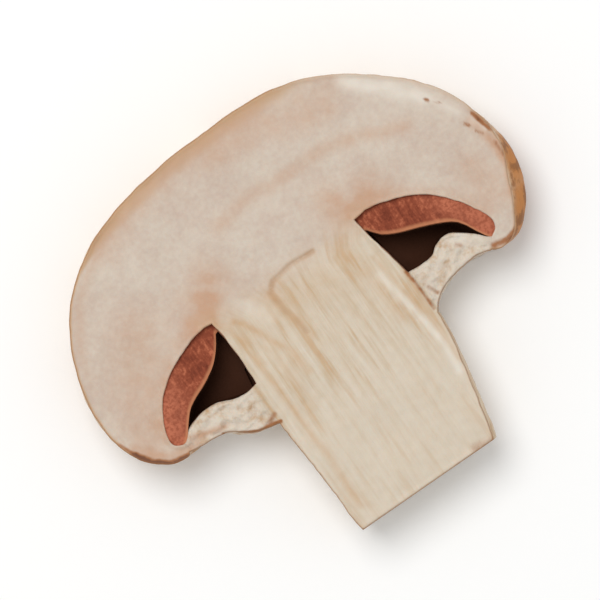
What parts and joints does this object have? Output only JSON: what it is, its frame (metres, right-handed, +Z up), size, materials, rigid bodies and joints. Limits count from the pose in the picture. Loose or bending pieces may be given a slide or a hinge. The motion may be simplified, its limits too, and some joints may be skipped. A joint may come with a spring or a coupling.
{
  "type": "button mushroom slice",
  "caption": "Lengthwise slice of a raw button mushroom, with cap, stem, torn veil and dark gills, lying on its cut face.",
  "frame": {"origin": "under the middle of the slice's outline, on the lower cut face that it lies on", "axes": "+X across the cap to the right half, +Y along the stem towards the crown, +Z up through the slice"},
  "size_m": [0.0456, 0.0384, 0.007],
  "materials": {
    "flesh": null,
    "gills": null
  },
  "bodies": {
    "root": {"cap_and_stem": "flesh", "gills_right": "gills", "gills_left": "gills"}
  },
  "joints": []
}
